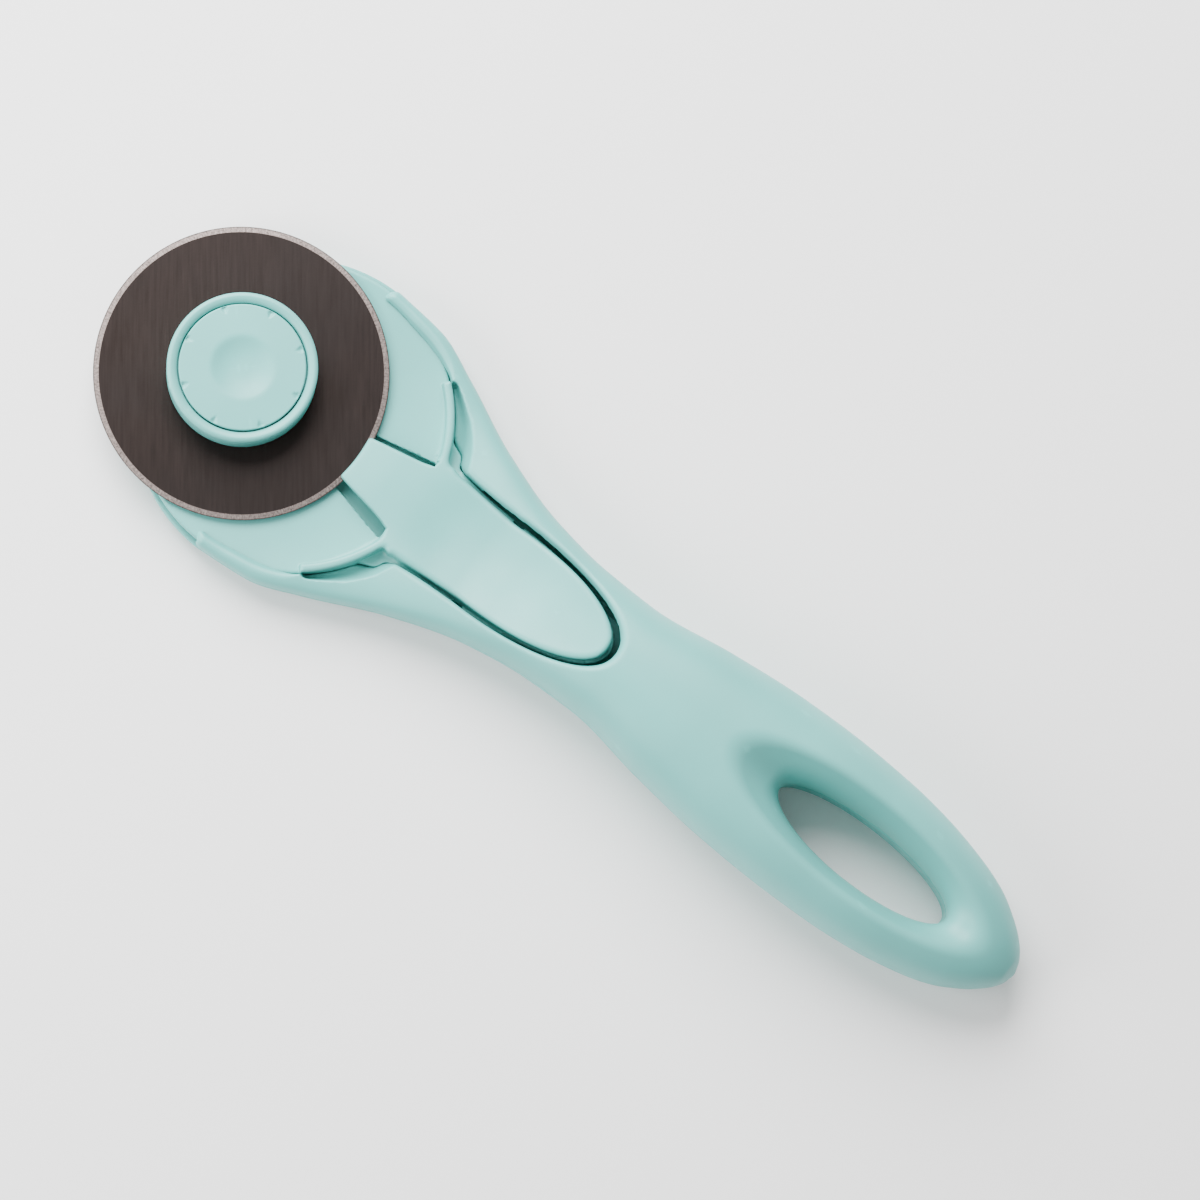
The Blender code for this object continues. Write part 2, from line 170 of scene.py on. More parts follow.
# Back shell: the boss, the room for the bolt, and the holes for the screws
BOSS_R = 6.6
BOSS_MIDDLE = 4.2
BOSS_HALF = 1.3
BOLT_HEAD_R = 7.3
BOLT_HEAD_TOP = 2.3
BOLT_NECK_W = 4.5
BOLT_NECK_TOP = 9
SCREW_HOLES = (
    screw_hole("head_screw_left", 2.0),
    screw_hole("head_screw_right", 2.0),
    screw_hole("grip_screw_front", 3.2),
    screw_hole("grip_screw_rear", 3.2),
)
SCREW_HEAD_R = 2.2
SCREW_R = 1.3

# Knob
KNOB_R = 11.42
KNOB_LOW = knob_low[2]
KNOB_TOP = knob_high[2]
KNOB_FILLET = 0.6
KNOB_BORE_R = 4.9
KNOB_SKIRT_R = 8.6
KNOB_SKIRT_TOP = 8.6
RECESS_R = 9.84
RECESS_LOW = 11.0
NIB_TURN = math.radians(233.7)
NIB_W = 0.35
NIB_OUT = 0.14
CAP_R = 9.62
CAP_LOW = cap_low[2]
CAP_TOP = 12.62
CAP_FILLET = 0.2
CAP_CROWN = 0.12
CAP_MIDDLE_R = 0.02
BOWL_R = 4.95
BOWL_DEPTH = 0.85
NOTCHES = 8
NOTCH_TURN = math.radians(10.3)
NOTCH_START_R = 8.35
NOTCH_LENGTH = 0.85
NOTCH_DEPTH = 0.34


# ---------------------------------------------------------------- curves and distance fields


def smooth_curve(*points):
    """A function of arrays through the points that never overshoots them: a monotone cubic."""
    xs = np.array([p[0] for p in points], float)
    ys = np.array([p[1] for p in points], float)
    slopes = np.diff(ys) / np.diff(xs)
    product = slopes[:-1] * slopes[1:]
    total = slopes[:-1] + slopes[1:]
    middle = np.where(product > 0, 2 * product / np.where(total == 0, 1, total), 0.0)
    tangents = np.concatenate([[slopes[0]], middle, [slopes[-1]]])

    def value(x):
        x = np.clip(x, xs[0], xs[-1])
        i = np.clip(np.searchsorted(xs, x, "right") - 1, 0, len(xs) - 2)
        h = xs[i + 1] - xs[i]
        s = (x - xs[i]) / h
        start = (1 + 2 * s) * (1 - s) ** 2 * ys[i] + s * (1 - s) ** 2 * h * tangents[i]
        end = s * s * (3 - 2 * s) * ys[i + 1] + s * s * (s - 1) * h * tangents[i + 1]
        return start + end

    return value


def step_up(x, low, high):
    """Rises smoothly from 0 at low to 1 at high."""
    s = np.clip((x - low) / (high - low), 0, 1)
    return s * s * (3 - 2 * s)


def blend_max(a, b, k):
    """The larger of two fields, with the crease between them rounded over about k."""
    h = np.maximum(k - np.abs(a - b), 0) / k
    return np.maximum(a, b) + h * h * k / 4


def blend_min(a, b, k):
    """The smaller of two fields, with the crease between them filled over about k."""
    return -blend_max(-a, -b, k)


def oval_field(t, n, center, a, b):
    """Distance, to first order, to an upright oval post."""
    x = (t - center) / a
    y = n / b
    r = np.sqrt(x * x + y * y) + 1e-9
    return (r - 1) * r / np.sqrt((x / a) ** 2 + (y / b) ** 2 + 1e-9)


def guard_polar(t, n):
    """Radius and angle round the guard's centre, in degrees from the handle's direction to either side."""
    return np.hypot(t - GUARD_T, n), np.degrees(np.arctan2(np.abs(n), t - GUARD_T))


side = smooth_curve(
    (HEAD_T, HEAD_R), (20, 24.0), (28, 20.9), (40, 15.4), (52, 11.6), (63, 10.1), (71, 9.9), (85, 11.8),
    (98, 13.1), (108, 13.4), (118, 13.1), (126, 12.3), (134, 10.7), (139, 9.1), (143, 6.9), (146, 4.6),
    (148, 2.1), (TIP_T, 0.6),
)
top_height = smooth_curve(
    (14, 7.5), (30, 8.2), (44, 11.0), (58, 15.0), (72, 18.0), (90, 19.6), (104, 20.0), (118, 19.0),
    (132, 16.5), (142, 13.5), (147, 10.5), (TIP_T, 8.0),
)
bottom_height = smooth_curve((118, -0.5), (134, -0.2), (142, 0.9), (147, 3.0), (TIP_T, 4.8))
squareness = smooth_curve((26, 4.6), (44, 3.6), (60, 2.7), (80, 2.5), (140, 2.4))
parting_height = smooth_curve(
    (20, PLATE_TOP), (30, PLATE_TOP), (48, 6.2), (66, 8.6), (120, 8.6), (TIP_T, 6.4),
)


def handle(t, n, z):
    """The whole handle's outside: rounded rectangles in the head that turn into ovals along the grip."""
    w = side(t)
    high = top_height(t)
    low = bottom_height(t)
    p = squareness(t)
    rise = (high - low) / 2
    across = np.hypot(np.minimum(t - HEAD_T, 0), n) / w + 1e-6
    up = np.abs(z - (high + low) / 2) / rise + 1e-6
    r = (across**p + up**p) ** (1 / p)
    slope = r ** (1 - p) * np.hypot(across ** (p - 1) / w, up ** (p - 1) / rise)
    return np.maximum((r - 1) / slope, t - TIP_T)


def dish(t, n, z):
    """Room above the long hollow in the front face that leads into the loop's hole."""
    x = (t - DISH_T) / DISH_A
    y = n / DISH_B
    share = np.hypot(x, y) + 1e-6
    floor = top_height(t) - 0.8 * y * y + np.maximum(DISH_DEPTH * (share - 1), -8.5)
    slope = DISH_DEPTH * np.hypot(x / DISH_A, y / DISH_B) / share
    return (floor - z) / np.hypot(slope, 1)


def cavity(t, z, skin):
    """The hollow of the grip, a wall's thickness inside the skin."""
    hollow = np.maximum(skin + WALL, np.maximum(CAVITY_T[0] - t, t - CAVITY_T[1]))
    return np.maximum(hollow, CAVITY_LOW - z)


def tail_channel(t, n, z):
    """Room between the shells for the guard's tail."""
    span = np.maximum(CHANNEL_T[0] - t, np.maximum(t - CHANNEL_T[1], np.abs(n) - CHANNEL_W))
    return np.maximum(span, np.abs(z - CHANNEL_MIDDLE) - CHANNEL_HALF)


window_side = smooth_curve(
    (30, 12.6), (31.7, 11.75), (33.2, 11.15), (34.0, 10.75), (34.4, 10.25), (34.9, 9.3), (35.4, 9.0),
    (37, 8.75), (41, 8.35), (WINDOW_T, WINDOW_W),
)


def opening(t, n):
    """The front shell's opening round the guard, seen from above."""
    beside_saddle = np.maximum(np.abs(n) - window_side(t), CHANNEL_T[0] - t)
    return np.minimum(np.hypot(t - GUARD_T, n) - POCKET_R, beside_saddle)


def wall_lean(z):
    """How far the walls of the window, and of the saddle in it, lean outwards at a height."""
    return 0.14 * np.maximum(z - LEAN_START, 0)


def window(t, n, z):
    """The thumb slide's window."""
    lean = wall_lean(z)
    front = (np.abs(n) - window_side(t) - lean) * 0.95
    return np.where(t < WINDOW_T, front, oval_field(t, n, WINDOW_T, WINDOW_REAR, WINDOW_W) - lean)


# The rims beside the guard, by angle: the radius of their ridge, and the foot and lean of their inner wall
ridge_r = smooth_curve((18, 27.3), (25.6, 27.2), (34, 26.7), (40, 26.0), (47, 25.3), (54, 24.8))
rim_foot = smooth_curve(
    (42, POCKET_R), (51, POCKET_R - 0.02), (57, 23.85), (66, 23.05), (78, 22.45), (95, 22.5),
)
rim_lean = smooth_curve((48, 0.0), (57, 0.3), (66, 0.9), (80, 1.25))


def front_shell(t, n, z):
    """The upper moulding: grip, top half of the loop, window, and the rims beside the guard."""
    d = blend_max(handle(t, n, z), -dish(t, n, z), 1.2)
    d = blend_max(d, -oval_field(t, n, LOOP_T, LOOP_A, LOOP_B), 2.4)
    hollow = cavity(t, z, d)

    # The rims are scooped out above, as far round as the fins. Their inner wall follows the guard, and they
    # end in a rounded nose that leans back
    r, angle = guard_polar(t, n)
    share = np.maximum(r - POCKET_R, 0) / (ridge_r(angle) - POCKET_R)
    scoop = SCOOP_LOW + (top_height(t) - SCOOP_LOW) * share**3.0
    scoop = scoop + SCOOP_END_RISE * step_up(angle, *SCOOP_END_ANGLES)
    d = blend_max(d, (z - scoop) * 0.5, 0.7)
    rim_wall = rim_foot(angle) + rim_lean(angle) * np.clip((z - RIM_LOW) / RIM_SLOPE_HEIGHT, 0, 1.3)
    d = blend_max(d, (rim_wall - r) * 0.85, 0.3 + 0.7 * step_up(angle, 50, 58))
    nose = NOSE_T + NOSE_SLANT * (np.abs(n) - NOSE_N) + NOSE_RAKE * np.maximum(z - RIM_LOW, 0)
    d = blend_max(d, (nose - t) * 0.87, 0.9)

    d = blend_max(d, -window(t, n, z), 0.8)
    d = blend_max(d, -np.maximum(r - POCKET_R, z - RIM_LOW), 0.1)
    d = blend_max(d, parting_height(t) + SEAM - z, 0.35)
    return np.maximum(d, -np.minimum(hollow, tail_channel(t, n, z)))


def back_shell(t, n, z):
    """The lower moulding: head plate with the boss, back of the grip, and bottom half of the loop."""
    d = blend_max(handle(t, n, z), -z, 0.45)
    d = blend_max(d, -oval_field(t, n, LOOP_T, LOOP_A, LOOP_B), 4.0)
    hollow = cavity(t, z, d)
    d = blend_max(d, z - parting_height(t), 0.4)
    d = np.maximum(d, -np.minimum(hollow, tail_channel(t, n, z)))

    hub = np.hypot(t, n)
    d = blend_min(d, np.maximum(hub - BOSS_R, np.abs(z - BOSS_MIDDLE) - BOSS_HALF), 0.3)
    d = blend_max(d, -np.maximum(hub - BOLT_HEAD_R, z - BOLT_HEAD_TOP), 0.4)
    neck = np.maximum(np.abs(t), np.abs(n)) - BOLT_NECK_W
    d = np.maximum(d, -np.maximum(neck, z - BOLT_NECK_TOP))
    for along, across, depth in SCREW_HOLES:
        away = np.hypot(t - along, n - across)
        d = blend_max(d, -np.maximum(away - SCREW_HEAD_R, z - depth), 0.4)
        d = np.maximum(d, SCREW_R - away)
    return d


saddle_height = smooth_curve(
    (19.5, 7.0), (23, 7.65), (28, 8.1), (33, 8.2), (39, 8.0), (45, 8.5), (52, 10.2), (60, 12.8), (69, 15.2),
)

# Half widths of the tongue and saddle, and of the grooves beside the tongue, on the left (+Y) and right (-Y)
left_edge = smooth_curve(
    (19, 3.8), (22.4, 4.54), (31.9, 6.64), (33.2, 7.2), (34.6, 8.0), (36, 7.9), (39, 7.7),
    (WINDOW_T, SADDLE_W),
)
right_edge = smooth_curve(
    (19, 2.8), (22.4, 3.5), (31.9, 5.3), (33.2, 6.4), (34.6, 7.9), (36, 7.9), (39, 7.7),
    (WINDOW_T, SADDLE_W),
)
left_groove = smooth_curve((GROOVE_START, 4.66), (22.4, 5.4), (GROOVE_END, 7.55), (36, 8.4))
right_groove = smooth_curve((GROOVE_START, 4.1), (22.4, 4.8), (GROOVE_END, 6.85), (36, 7.6))


def guard(t, n, z):
    """Guard plate, tail, fins, thumb saddle and tongue in one moulding."""
    r, angle = guard_polar(t, n)
    side_n = np.abs(n)

    # The plate sinks a little towards its middle
    edge_gap = opening(t, n) + EDGE_GAP
    disc = np.maximum(edge_gap, t - FLANK_END)
    tail = np.maximum(side_n - TAIL_W, np.maximum(t - TAIL_T[1], TAIL_T[0] - t))
    outwards = np.clip((r - GUARD_SINK_R[0]) / (GUARD_SINK_R[1] - GUARD_SINK_R[0]), 0, 1)
    surface = GUARD_TOP - GUARD_SINK * (1 - outwards**2)
    plate = blend_max(np.minimum(disc, tail), np.maximum(z - surface, GUARD_LOW - z), 0.35)

    # Grooves beside the tongue
    edge = np.where(n > 0, left_edge(t), right_edge(t))
    groove = np.where(n > 0, left_groove(t), right_groove(t))
    length = np.maximum(t - GROOVE_END, GROOVE_START - t)
    plate = blend_max(plate, -np.maximum(side_n - groove, length), 0.15)

    # Outline of saddle, tongue and fins, joined by wide fillets
    saddle_front = (side_n - edge) * 0.97
    saddle_rear = oval_field(t, n, WINDOW_T, SADDLE_REAR, SADDLE_W)
    saddle = np.where(t < WINDOW_T, saddle_front, saddle_rear) - wall_lean(z)
    fin = np.maximum(r - POCKET_R + EDGE_GAP, FIN_INNER_R - r)
    fin = np.maximum(fin, np.maximum(angle - FIN_ANGLES[1], FIN_ANGLES[0] - angle) * FIN_MM_PER_DEGREE)
    outline = np.maximum(blend_min(saddle, fin, 2.6), edge_gap)

    # Their height: the saddle is cupped for the thumb, the tongue is crowned, and the fins slope down
    share = np.clip(side_n / SADDLE_W, 0, 1.1)
    cup = SADDLE_CUP * step_up(t, 29, 40) * share**2.2
    crown = TONGUE_CROWN * (1 - step_up(t, 24, 34)) * share**2
    fin_top = FIN_TOP - FIN_DROP * step_up(angle, 20, FIN_ANGLES[1])
    on_fin = step_up(side_n, 6.0, 10.5) * (1 - step_up(t, 34, 37.5))
    height = (saddle_height(t) + (cup - crown)) * (1 - on_fin) + fin_top * on_fin
    upper = blend_max(outline, (z - height) * 0.95, 0.6 + 0.6 * step_up(t, 33, 37))
    upper = blend_max(upper, -np.maximum(np.maximum(side_n - groove, edge - side_n), length), 0.3)
    upper = np.maximum(upper, UPPER_LOW - z)
    upper = blend_max(upper, TONGUE_R - np.hypot(t, n), 0.5)

    # A flange round the saddle nearly fills the window, and has a small hole at each side
    drop = 3.0 + 0.5 * step_up(t, 44, 50) + 0.8 * (1 - step_up(t, 31.5, 37.0))
    beside = np.where(t < 35.5, edge_gap, window(t, n, z) + FLANGE_GAP)
    flange = blend_max(beside, (z - height + drop) * 0.9, 0.3)
    flange = np.maximum(flange, np.maximum(FLANGE_T - t, UPPER_LOW - z))
    hole = np.maximum(np.abs(t - HOLE_T) - HOLE_HALF, SADDLE_W - 0.3 - side_n)
    flange = np.maximum(flange, -hole)
    upper = blend_min(upper, flange, 0.6)

    # Room under the tongue for the blade, and a slot in the plate for the boss, both as long as the travel
    under = np.hypot(t - TRAVEL, n) - BLADE_SLOT_R
    under = np.maximum(under, np.maximum(z - TONGUE_LOW, side_n - BLADE_SLOT_W))
    upper = np.maximum(upper, -under)
    d = blend_min(plate, upper, 0.3 + 0.4 * (1 - step_up(angle, 30, 46)))
    slot = np.hypot(t - np.clip(t, 0, TRAVEL), n) - BOSS_SLOT_R
    return np.maximum(d, -np.maximum(slot, z - BOSS_SLOT_TOP))


# ---------------------------------------------------------------- meshes from fields


def grid_lines(start, *stretches):
    """Grid lines from start, each stretch given as where it ends and its spacing."""
    lines = [start]
    for end, step in stretches:
        count = max(1, round((end - lines[-1]) / step))
        lines.extend(np.linspace(lines[-1], end, count + 1)[1:])
    return np.array(lines)


def surface_net(values):
    """Places, in grid steps, and quads where values change sign: one point to a crossed cell."""
    inside = values < 0
    shape = tuple(s - 1 for s in values.shape)
    total = np.zeros(shape + (3,))
    count = np.zeros(shape, np.int32)
    crossings = []
    grid = np.indices(values.shape, sparse=True)
    for axis in range(3):
        first = [slice(None)] * 3
        second = [slice(None)] * 3
        first[axis] = slice(0, -1)
        second[axis] = slice(1, None)
        first = tuple(first)
        second = tuple(second)
        crossed = inside[first] != inside[second]
        share = np.where(crossed, values[first] / np.where(crossed, values[first] - values[second], 1), 0)
        crossings.append((crossed, inside[first]))
        others = [k for k in range(3) if k != axis]
        for i, j in ((0, 0), (0, 1), (1, 0), (1, 1)):
            take = [slice(None)] * 3
            take[others[0]] = slice(i, i + shape[others[0]])
            take[others[1]] = slice(j, j + shape[others[1]])
            take = tuple(take)
            hit = crossed[take]
            count += hit
            for k in range(3):
                base = np.broadcast_to(grid[k], values.shape)[first][take]
                total[..., k] += np.where(hit, base + (share[take] if k == axis else 0), 0)
    active = count > 0
    number = np.full(shape, -1, np.int64)
    number[active] = np.arange(int(active.sum()))
    quads = []
    for axis, (crossed, starts_inside) in enumerate(crossings):
        u, v = (axis + 1) % 3, (axis + 2) % 3
        keep = [slice(None)] * 3
        keep[u] = slice(1, shape[u])
        keep[v] = slice(1, shape[v])
        places = np.argwhere(crossed[tuple(keep)])
        places[:, u] += 1
        places[:, v] += 1
        out = starts_inside[tuple(places.T)]
        corners = []
        for du, dv in ((-1, -1), (0, -1), (0, 0), (-1, 0)):
            cell = places.copy()
            cell[:, u] += du
            cell[:, v] += dv
            corners.append(number[tuple(cell.T)])
        quad = np.stack(corners, 1)
        quad[~out] = quad[~out][:, ::-1]
        quads.append(quad)
    return total[active] / count[active][:, None], np.concatenate(quads)


def gradient(field, points, reach=0.02):
    """The field's slope at the points, from differences over the reach to either side."""
    parts = []
    for axis in range(3):
        ahead = points.copy()
        behind = points.copy()
        ahead[:, axis] += reach
        behind[:, axis] -= reach
        parts.append((field(*ahead.T) - field(*behind.T)) / (2 * reach))
    return np.stack(parts, 1)


def settle(field, points, most=0.12, rounds=4):
    """Moves the points onto the field's zero surface, at most so many millimetres in a round."""
    for _ in range(rounds):
        slope = gradient(field, points)
        size = np.maximum((slope**2).sum(1), 0.05)
        move = -slope * (field(*points.T) / size)[:, None]
        length = np.linalg.norm(move, axis=1)
        points = points + move * np.minimum(1, most / np.maximum(length, 1e-9))[:, None]
    return points


def add_mesh(name, points, faces, body, nodes, skin):
    """Adds a piece that stands for the named CAD nodes. Its points are in millimetres from the hub."""
    mesh = bpy.data.meshes.new(name)
    mesh.from_pydata(((points + (HUB_X, 0, 0)) * MM).tolist(), [], faces)
    mesh.shade_smooth()
    mesh.materials.append(skin)
    obj = bpy.data.objects.new(name, mesh)
    bpy.context.scene.collection.objects.link(obj)
    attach(obj, body)
    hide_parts(*nodes)
    return obj


def moulded(name, field, lines, body, node, skin):
    """A piece meshed from a field on a grid of three sets of lines, with the field's own normals."""
    t, n, z = np.meshgrid(*lines, indexing="ij")
    places, quads = surface_net(field(t, n, z))
    spans = [np.interp(places[:, k], np.arange(len(lines[k])), lines[k]) for k in range(3)]
    points = settle(field, np.stack(spans, 1))
    obj = add_mesh(name, points, quads.tolist(), body, [node], skin)
    normals = gradient(field, points, reach=0.06)
    normals /= np.maximum(np.linalg.norm(normals, axis=1), 1e-9)[:, None]
    obj.data.normals_split_custom_set_from_vertices(normals.tolist())


def turned(name, profile, segments, body, nodes, skin, shape=None, sharp=40):
    """A closed profile of (radius, height) turned round the hub. The shape function may move its points."""
    radii = np.array([p[0] for p in profile], float)
    heights = np.array([p[1] for p in profile], float)
    angles = np.arange(segments) * 2 * math.pi / segments
    r, angle = np.meshgrid(radii, angles, indexing="ij")
    z = np.repeat(heights[:, None], segments, 1)
    if shape:
        r, z = shape(r, angle, z)
    points = np.stack([r * np.cos(angle), r * np.sin(angle), z], 2).reshape(-1, 3)
    rings = len(profile)
    faces = []
    for i in range(rings):
        j = (i + 1) % rings
        for a in range(segments):
            b = (a + 1) % segments
            faces.append((i * segments + a, j * segments + a, j * segments + b, i * segments + b))
    obj = add_mesh(name, points, faces, body, nodes, skin)
    mend = bmesh.new()
    mend.from_mesh(obj.data)
    bmesh.ops.remove_doubles(mend, verts=mend.verts, dist=1e-7)
    bmesh.ops.dissolve_degenerate(mend, edges=mend.edges, dist=1e-8)
    bmesh.ops.recalc_face_normals(mend, faces=mend.faces)
    mend.to_mesh(obj.data)
    mend.free()
    obj.data.shade_smooth()
    obj.data.set_sharp_from_angle(angle=math.radians(sharp))


# ---------------------------------------------------------------- materials


class Nodes:
    """Short names for building a shader's node tree."""

    def __init__(self, name, color, roughness, metallic=0.0):
        self.material = bpy.data.materials.new(name)
        self.material.use_nodes = True
        self.tree = self.material.node_tree
        self.shader = self.tree.nodes["Principled BSDF"]
        self.shader.inputs["Base Color"].default_value = (*color, 1)
        self.shader.inputs["Roughness"].default_value = roughness
        self.shader.inputs["Metallic"].default_value = metallic

    def add(self, kind, settings, **sockets):
        """A node with these settings, and its sockets by name or, as _0 or _1, by number."""
        node = self.tree.nodes.new("ShaderNode" + kind)
        for key, value in settings.items():
            setattr(node, key, value)
        for key, value in sockets.items():
            socket = node.inputs[int(key[1:])] if key[0] == "_" else node.inputs[key]
            if isinstance(value, bpy.types.NodeSocket):
                self.tree.links.new(value, socket)
            else:
                socket.default_value = value
        return node

    def here(self):
        return self.add("TexCoord", {}).outputs["Object"]

    def noise(self, place, scale, detail=3.0, rough=0.5):
        made = self.add("TexNoise", {}, Vector=place, Scale=scale, Detail=detail, Roughness=rough)
        return made.outputs["Fac"]

    def math(self, operation, a, b=0.0):
        return self.add("Math", {"operation": operation}, _0=a, _1=b).outputs["Value"]

    def remap(self, value, low, high, start=0.3, end=0.7):
        sockets = {"Value": value, "From Min": start, "From Max": end, "To Min": low, "To Max": high}
        return self.add("MapRange", {}, **sockets).outputs["Result"]

    def mix(self, share, a, b):
        a = a if isinstance(a, bpy.types.NodeSocket) else (*a, 1)
        b = b if isinstance(b, bpy.types.NodeSocket) else (*b, 1)
        return self.add("Mix", {"data_type": "RGBA"}, _0=share, _6=a, _7=b).outputs[2]

    def use(self, socket, value):
        self.tree.links.new(value, self.shader.inputs[socket])

    def bump(self, value, depth):
        made = self.add("Bump", {}, Strength=0.6, Distance=depth, Height=value)
        self.use("Normal", made.outputs["Normal"])


def shade(color, factor):
    return tuple(min(c * factor, 1) for c in color)


def plastic(name, color, roughness):
    """Satin moulded plastic: some mottling, uneven gloss, painted highlights on sharp edges, a fine eroded
    grain.
    """
    made = Nodes(name, color, roughness)
    place = made.here()
    patches = made.remap(made.noise(place, 55.0, 4.0), 0.0, 1.0)
    mottled = made.mix(patches, shade(color, 0.95), shade(color, 1.05))
    # Painted highlight: the sharpest convex edges are paled, in fine speckles, where light would catch them
    pointy = made.add("NewGeometry", {}).outputs["Pointiness"]
    painted_edge_highlight = made.math("MULTIPLY", made.remap(pointy, 0.0, 0.55, 0.52, 0.60), made.noise(place, 900.0))
    made.use("Base Color", made.mix(painted_edge_highlight, mottled, shade(color, 1.35)))
    gloss = made.remap(made.noise(place, 170.0, 5.0), roughness - 0.05, roughness + 0.06)
    made.use("Roughness", gloss)
    made.bump(made.noise(place, 3600.0, 2.0, 0.6), 0.00002)
    return made.material


FACE_DARK = (0.0208, 0.015, 0.0135)
FACE_LIGHT = (0.0282, 0.0208, 0.019)
FACE_CLOUD = (0.0228, 0.0197, 0.0199)
BEVEL_DARK = (0.055, 0.043, 0.039)
BEVEL_LIGHT = (0.36, 0.30, 0.28)
# Painted shade for the blade's outermost rim
EDGE_SHADE_COLOR = (0.035, 0.028, 0.026)
LAPPING_TURN = math.radians(38)


def blade_material():
    """Coated blade: a dark face with fine lapping lines, and a bare ground bevel with marks across it."""
    made = Nodes("coated_blade", (0.02, 0.014, 0.013), 0.4, 0.9)
    hub = (HUB_X * MM, 0, 0)
    centre = made.add("VectorMath", {"operation": "SUBTRACT"}, _0=made.here(), _1=hub).outputs[0]
    parts = made.add("SeparateXYZ", {}, Vector=centre)
    x = parts.outputs["X"]
    y = parts.outputs["Y"]
    away = made.math("SQRT", made.math("ADD", made.math("MULTIPLY", x, x), made.math("MULTIPLY", y, y)))
    bevel = made.remap(away, 0.0, 1.0, (BLADE_LAND_R - 0.03) * MM, (BLADE_LAND_R + 0.03) * MM)

    # The face: long fine lines in one direction, and faint clouds
    turned_in = {"Rotation": (0, 0, LAPPING_TURN), "Scale": (1 / 2400, 1 / 110, 1.0)}
    lines = made.add("Mapping", {"vector_type": "TEXTURE"}, Vector=centre, **turned_in).outputs["Vector"]
    lapping = made.noise(lines, 1.0, 4.0, 0.65)
    cloud = made.noise(centre, 60.0, 3.0)
    face = made.mix(made.remap(lapping, 0.0, 1.0), FACE_DARK, FACE_LIGHT)
    face = made.mix(made.remap(cloud, 0.0, 0.35), face, FACE_CLOUD)

    # The bevel: grinding marks that run outwards, and painted shade as a thin dark ring at the outer edge
    around = made.math("MULTIPLY", made.math("ARCTAN2", y, x), 32.0)
    marks = made.add("CombineXYZ", {}, X=around, Y=made.math("MULTIPLY", away, 900.0)).outputs[0]
    grinding = made.noise(marks, 2.2, 5.0, 0.7)
    bare = made.mix(made.remap(grinding, 0.0, 1.0), BEVEL_DARK, BEVEL_LIGHT)
    # Painted shade: the last fraction of a millimetre of the rim is darkened all round
    edge = made.remap(away, 0.0, 0.85, (BLADE_R - 0.2) * MM, (BLADE_R - 0.08) * MM)
    bare = made.mix(edge, bare, EDGE_SHADE_COLOR)

    made.use("Base Color", made.mix(bevel, face, bare))
    duller = made.math("MULTIPLY", bevel, 0.2)
    made.use("Roughness", made.math("ADD", made.remap(lapping, 0.36, 0.46), duller))
    face_grain = made.math("MULTIPLY", lapping, 0.4)
    bevel_grain = made.math("MULTIPLY", bevel, grinding)
    made.bump(made.math("ADD", face_grain, bevel_grain), 0.000008)
    return made.material


def metal(name, color, roughness, grain):
    """Plated or brushed steel and brass: mottled tone, fine scratches and a duller film in patches."""
    made = Nodes(name, color, roughness, 1.0)
    place = made.here()
    tone = made.remap(made.noise(place, 300.0, 5.0, 0.6), 0.0, 1.0)
    made.use("Base Color", made.mix(tone, shade(color, 0.86), shade(color, 1.08)))
    made.use("Roughness", made.remap(made.noise(place, 700.0, 4.0), roughness - 0.07, roughness + 0.12))
    made.bump(made.noise(place, 2600.0, 3.0, 0.6), grain)
    return made.material


mint = plastic("mint_plastic", (0.112, 0.43, 0.40), 0.44)
guard_mint = plastic("guard_mint_plastic", (0.122, 0.445, 0.415), 0.42)
dark_steel = blade_material()
zinc_steel = metal("zinc_steel", (0.62, 0.62, 0.60), 0.34, 0.00001)
spring_steel = metal("spring_steel", (0.42, 0.42, 0.44), 0.28, 0.000006)
brass = metal("brass", (0.70, 0.51, 0.24), 0.34, 0.000008)

# ---------------------------------------------------------------- the pieces

# Grid lines are closer together where the shapes are finer
moulded(
    "front_shell_fine", front_shell,
    (
        grid_lines(8.6, (72, 0.36), (149, 0.62)),
        grid_lines(-25.6, (-19, 0.3), (19, 0.42), (25.6, 0.3)),
        grid_lines(3.0, (5.0, 0.36), (7.6, 0.22), (20.6, 0.38)),
    ),
    "handle", "front_shell", mint,
)
moulded(
    "back_shell_fine", back_shell,
    (grid_lines(-14.6, (149, 0.62)), grid_lines(-25.6, (25.6, 0.5)), grid_lines(-0.7, (9.4, 0.4))),
    "handle", "back_shell", mint,
)
moulded(
    "blade_guard_fine", guard,
    (
        grid_lines(-14.2, (18, 0.45), (50, 0.28), (89, 0.5)),
        grid_lines(-24.6, (-19, 0.28), (19, 0.34), (24.6, 0.28)),
        grid_lines(3.2, (17, 0.3)),
    ),
    "guard", "blade_guard", guard_mint,
)

MIDDLE = (BLADE_LOW + BLADE_TOP) / 2
turned(
    "blade_fine",
    [
        (BLADE_BORE_R, BLADE_TOP), (BLADE_LAND_R, BLADE_TOP), (BLADE_R - 0.02, MIDDLE + 0.01),
        (BLADE_R, MIDDLE),
        (BLADE_R - 0.02, MIDDLE - 0.01), (BLADE_LAND_R, BLADE_LOW), (BLADE_BORE_R, BLADE_LOW),
    ],
    288, "blade", ["blade"], dark_steel, sharp=6,
)


def arc_points(center, radius, start, stop, steps):
    """Points of a profile on an arc, its angles in degrees from outwards to up."""
    angles = np.radians(np.linspace(start, stop, steps))
    return [(center[0] + radius * math.cos(a), center[1] + radius * math.sin(a)) for a in angles]


